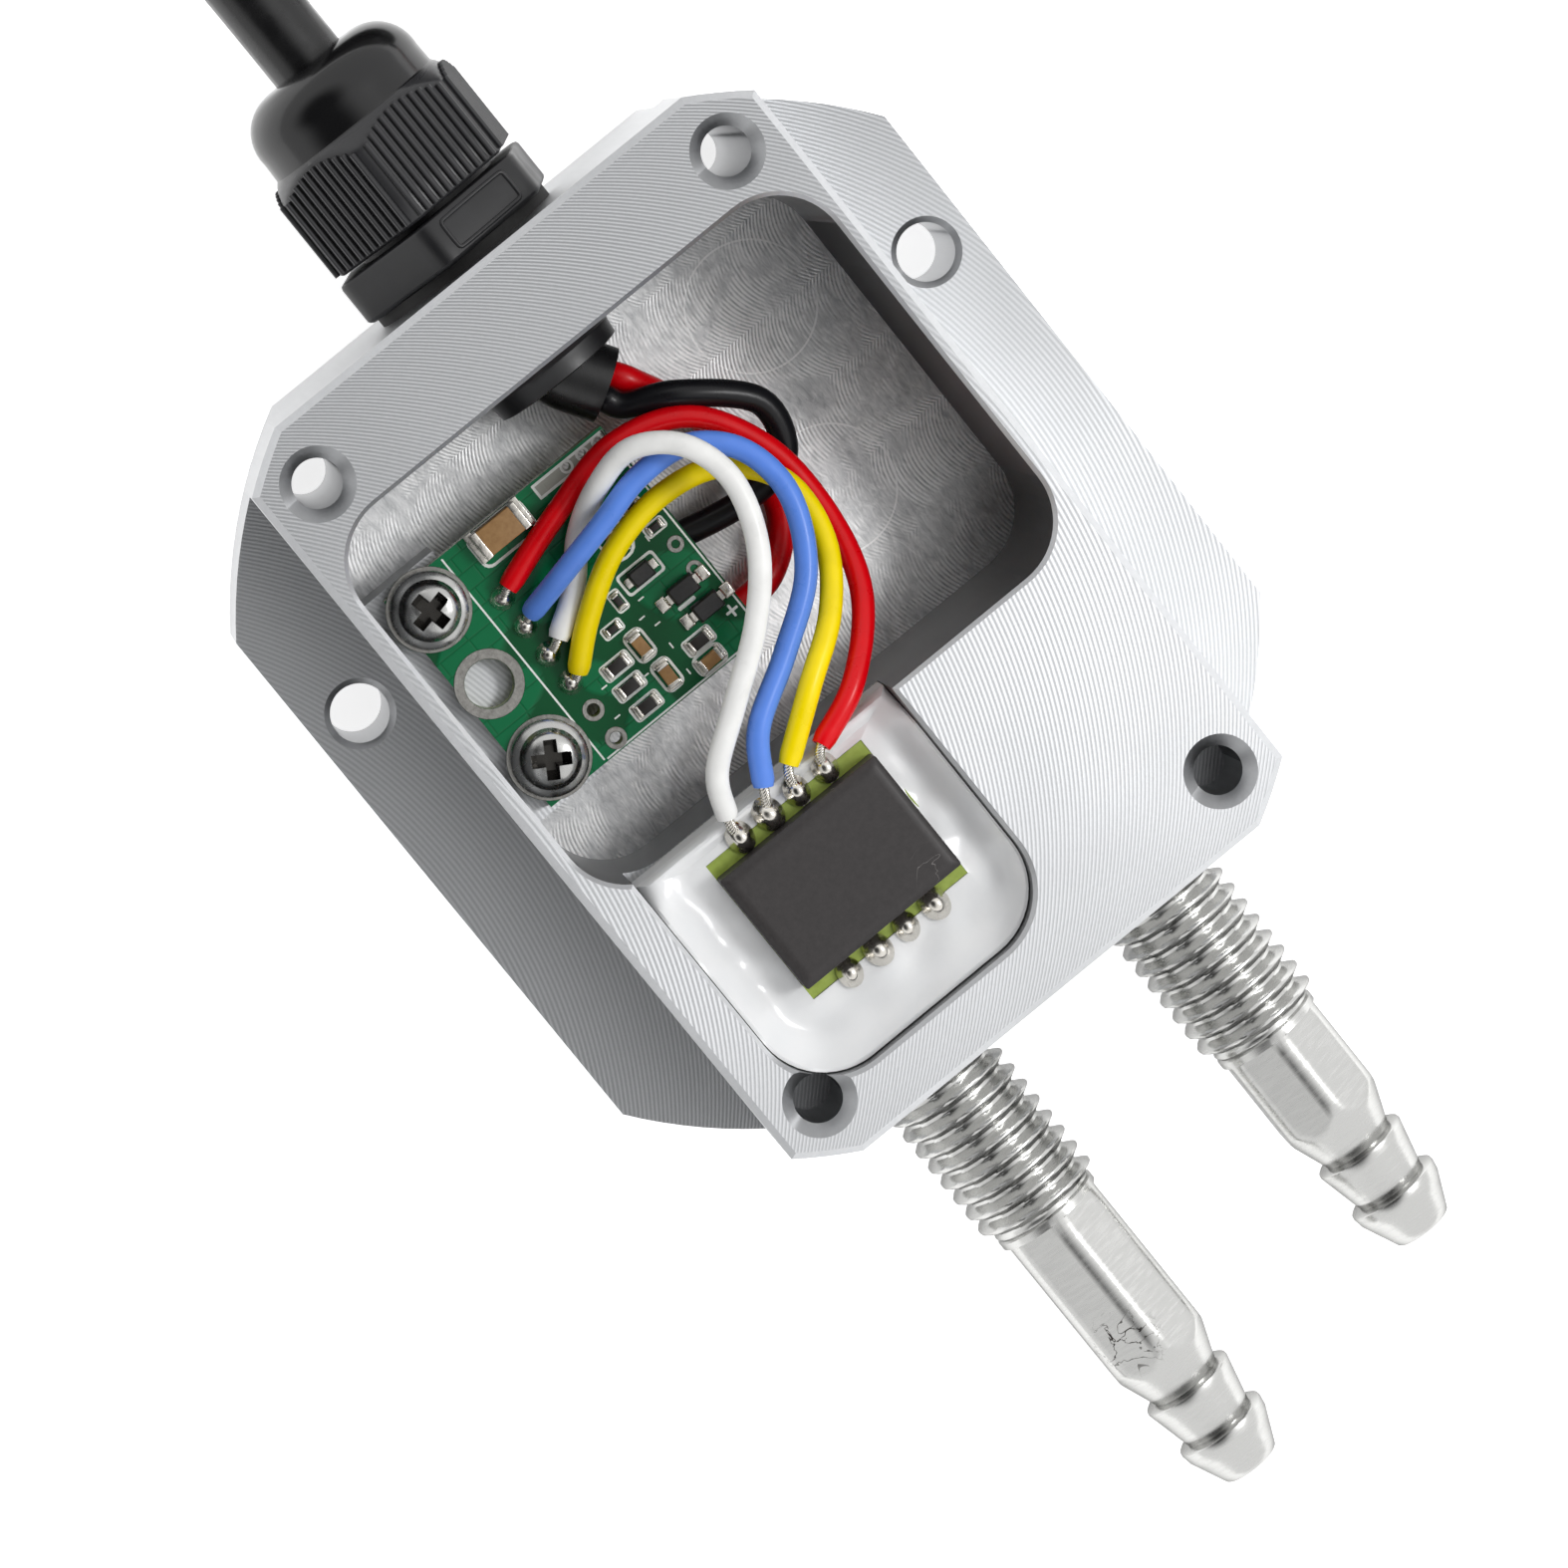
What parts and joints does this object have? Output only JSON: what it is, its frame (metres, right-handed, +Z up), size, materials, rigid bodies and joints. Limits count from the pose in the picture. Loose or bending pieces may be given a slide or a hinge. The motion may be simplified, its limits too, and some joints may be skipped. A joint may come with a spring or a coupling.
{
  "type": "differential pressure transmitter",
  "caption": "Opened aluminium differential pressure transmitter: hose barbs at one end, a cable gland at the other, and a sensor, board and wires in a milled pocket.",
  "frame": {"origin": "centre of the housing's flat base", "axes": "+Z up from the base to the open face, +Y from the hose barbs to the cable gland, +X across the housing"},
  "size_m": [0.0952, 0.1952, 0.022],
  "materials": {
    "black_cable": "smooth satin",
    "black_insulation": "satin",
    "black_moulding": "moulded",
    "black_nylon": "moulded",
    "black_rubber": "matt",
    "blue_insulation": "satin",
    "dark_ceramic": "glazed",
    "green_board": "solder mask",
    "milled_aluminium": "bare milled",
    "nickel_plated_brass": "bright plated",
    "red_insulation": "satin",
    "solder_tin": "bright",
    "steel": "turned",
    "tan_ceramic": "matt",
    "white_ceramic": "matt",
    "white_insulation": "satin",
    "white_silicone": "glossy",
    "yellow_insulation": "satin"
  },
  "bodies": {
    "transmitter_body": {"board_screws": "steel", "board_solder": "solder_tin", "cable_coil": "black_cable", "cable_core_black": "black_insulation", "cable_core_red": "red_insulation", "cable_held": "black_cable", "cable_lead": "black_cable", "cable_tail": "black_cable", "circuit_board": "green_board", "clamping_claws": "black_nylon", "diode": "black_moulding", "gland_body": "black_nylon", "gland_gasket": "black_rubber", "gland_seal": "black_rubber", "hose_barb_long": "nickel_plated_brass", "hose_barb_short": "nickel_plated_brass", "housing": "milled_aluminium", "large_capacitor": "tan_ceramic", "package_leads": "solder_tin", "passage_plug": "steel", "potting_silicone": "white_silicone", "resistors": "dark_ceramic", "sensor_cap": "black_moulding", "sensor_leads": "solder_tin", "sensor_plate": "white_ceramic", "sensor_ports": "white_ceramic", "sensor_solder": "solder_tin", "signal_wire_blue": "blue_insulation", "signal_wire_red": "red_insulation", "signal_wire_white": "white_insulation", "signal_wire_yellow": "yellow_insulation", "small_capacitors": "tan_ceramic", "supply_solder": "solder_tin", "supply_wire_black": "black_insulation", "supply_wire_red": "red_insulation", "transistors": "black_moulding"},
    "gland_nut": {"sealing_nut": "black_nylon"}
  },
  "joints": [
    {"name": "nut_turn", "type": "hinge", "parent": "transmitter_body", "child": "gland_nut", "pos_m": [0, 0.043, 0.011], "axis": [0, 1, 0], "range_deg": [0, 360]}
  ]
}
